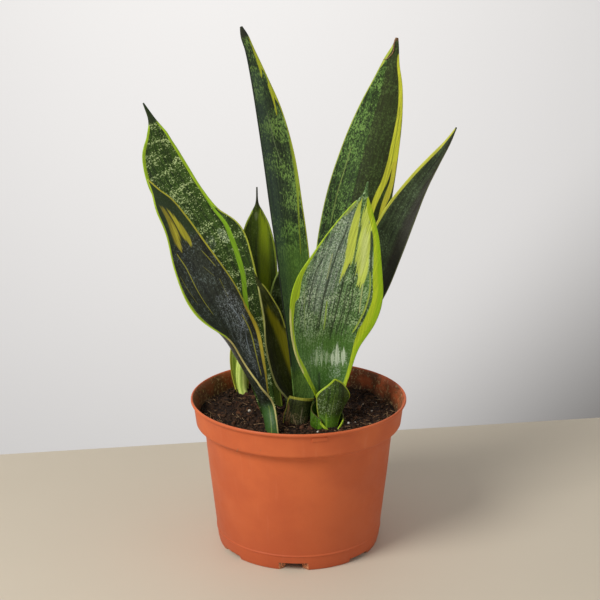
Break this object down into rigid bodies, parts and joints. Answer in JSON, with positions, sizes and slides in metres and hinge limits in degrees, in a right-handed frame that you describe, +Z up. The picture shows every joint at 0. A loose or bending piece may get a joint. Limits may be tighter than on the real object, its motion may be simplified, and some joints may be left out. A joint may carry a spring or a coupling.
{
  "type": "potted snake plant",
  "caption": "Snake plant with upright sword-shaped, yellow-edged leaves growing from peat soil in a round plastic nursery pot with a notched foot.",
  "frame": {"origin": "centre of the bounding box at its base: on the floor under the pot, within a few millimetres of the pot's middle", "axes": "+Z up along the plant's height, its longest extent; -Y towards the viewer of the plant's front; +X to the viewer's right"},
  "size_m": [0.2109, 0.15, 0.3588],
  "materials": {
    "pot_plastic": "orange-brown matte plastic, slightly scuffed at the foot",
    "soil": "dark peat crumbs with pale perlite and root fibres",
    "leaf_far_left": "waxy leaf, mid green with pale speckled bands and a yellow-green margin",
    "leaf_front_left": "waxy leaf, very dark green with thin yellow lines and margin",
    "leaf_back_left": "waxy leaf, olive yellow centre with dark green sides",
    "leaf_tall_left": "waxy leaf, dark green with paler cross bands",
    "leaf_tall_right": "waxy leaf, dark green with paler cross bands and a broad yellow margin",
    "leaf_front_right": "waxy leaf, green with lime margins and a cream-yellow patch",
    "leaf_right": "waxy leaf, dark green with a thin yellow upper margin",
    "leaf_centre": "waxy leaf, dark green with an olive yellow stripe",
    "leaf_back_centre": "waxy leaf, dark mottled green",
    "sheath_centre": "short cut leaf base, dark green with brown scratches",
    "sheath_right": "short leaf base, speckled green with lime margins",
    "sheath_right_outer": "wrapping leaf base, green with yellow margins",
    "pup_leaf_outer": "young leaf, yellow-green",
    "pup_leaf_inner": "young leaf, bright lime green"
  },
  "bodies": {
    "root": {"pot": "pot_plastic", "potting_soil": "soil", "leaf_far_left": "leaf_far_left", "leaf_front_left": "leaf_front_left", "leaf_back_left": "leaf_back_left", "leaf_tall_left": "leaf_tall_left", "leaf_tall_right": "leaf_tall_right", "leaf_front_right": "leaf_front_right", "leaf_right": "leaf_right", "leaf_centre": "leaf_centre", "leaf_back_centre": "leaf_back_centre", "sheath_centre": "sheath_centre", "sheath_right": "sheath_right", "sheath_right_outer": "sheath_right_outer", "pup_leaf_outer": "pup_leaf_outer", "pup_leaf_inner": "pup_leaf_inner"}
  },
  "joints": []
}
